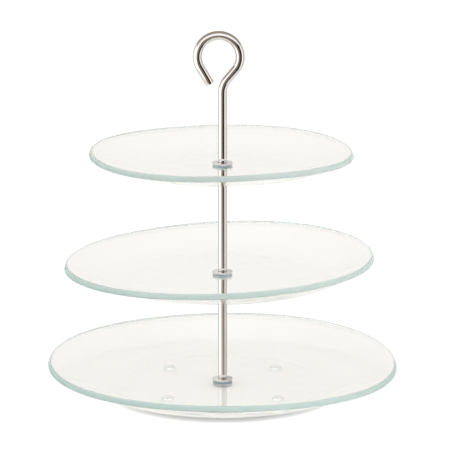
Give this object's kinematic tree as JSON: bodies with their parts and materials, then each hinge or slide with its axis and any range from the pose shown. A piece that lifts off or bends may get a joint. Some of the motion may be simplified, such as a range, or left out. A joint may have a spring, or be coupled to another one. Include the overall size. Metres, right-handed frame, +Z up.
{
  "type": "tiered cake stand",
  "caption": "Free-standing tiered cake stand: round shallow glass plates with green ground edges, clamped on a screw-together steel rod that ends in a ring handle.",
  "frame": {"origin": "on the rod's axis, on the surface that the feet stand on", "axes": "+Z up along the rod; the ring handle lies in the XZ plane with its open tip towards -X; -Y is the front"},
  "size_m": [0.3094, 0.3094, 0.3226],
  "materials": {
    "glass": "clear float glass with a green cast at its ground edge",
    "rod_steel": "polished stainless steel",
    "thread_steel": "plain threaded steel",
    "washer_steel": "turned stainless steel",
    "clear_gasket": "clear silicone",
    "hole_sleeve": "clear plastic",
    "foot": "clear soft bumper"
  },
  "bodies": {
    "base": {"bottom_plate": "glass", "bottom_hole_sleeve": "hole_sleeve", "bottom_upper_gasket": "clear_gasket", "bottom_lower_gasket": "clear_gasket", "base_screw": "thread_steel", "foot_1": "foot", "foot_2": "foot", "foot_3": "foot", "foot_4": "foot"},
    "lower_collar": {"bottom_upper_washer": "washer_steel"},
    "lower_rod": {"lower_rod": "rod_steel", "middle_lower_washer": "washer_steel"},
    "middle_plate": {"middle_plate": "glass", "middle_hole_sleeve": "hole_sleeve", "middle_upper_gasket": "clear_gasket", "middle_lower_gasket": "clear_gasket"},
    "middle_collar": {"middle_upper_washer": "washer_steel"},
    "middle_rod": {"middle_rod": "rod_steel", "middle_stud": "thread_steel", "top_lower_washer": "washer_steel"},
    "top_plate": {"top_plate": "glass", "top_hole_sleeve": "hole_sleeve", "top_upper_gasket": "clear_gasket", "top_lower_gasket": "clear_gasket"},
    "handle_collar": {"top_upper_washer": "washer_steel"},
    "handle": {"handle_rod": "rod_steel", "top_stud": "thread_steel"}
  },
  "joints": [
    {"name": "lower_collar_rise", "type": "slide", "parent": "base", "child": "lower_collar", "axis": [0, 0, 1], "range_m": [0, 0.0084]},
    {"name": "lower_rod_unscrew", "type": "hinge", "parent": "lower_collar", "child": "lower_rod", "pos_m": [0, 0, 0.0105], "axis": [0, 0, 1], "range_deg": [0, 3780]},
    {"name": "middle_plate_turn", "type": "hinge", "parent": "lower_rod", "child": "middle_plate", "pos_m": [0, 0, 0.1061], "axis": [0, 0, 1], "continuous": true},
    {"name": "middle_collar_rise", "type": "slide", "parent": "lower_rod", "child": "middle_collar", "axis": [0, 0, 1], "range_m": [0, 0.0084]},
    {"name": "middle_rod_unscrew", "type": "hinge", "parent": "middle_collar", "child": "middle_rod", "pos_m": [0, 0, 0.1086], "axis": [0, 0, 1], "range_deg": [0, 3780]},
    {"name": "top_plate_turn", "type": "hinge", "parent": "middle_rod", "child": "top_plate", "pos_m": [0, 0, 0.2042], "axis": [0, 0, 1], "continuous": true},
    {"name": "handle_collar_rise", "type": "slide", "parent": "middle_rod", "child": "handle_collar", "axis": [0, 0, 1], "range_m": [0, 0.0084]},
    {"name": "handle_unscrew", "type": "hinge", "parent": "handle_collar", "child": "handle", "pos_m": [0, 0, 0.2067], "axis": [0, 0, 1], "range_deg": [0, 3780]}
  ],
  "couplings": [
    {"joint": "lower_rod_unscrew", "follows": "lower_collar_rise", "rad_per_m": 7854},
    {"joint": "middle_rod_unscrew", "follows": "middle_collar_rise", "rad_per_m": 7854},
    {"joint": "handle_unscrew", "follows": "handle_collar_rise", "rad_per_m": 7854}
  ]
}
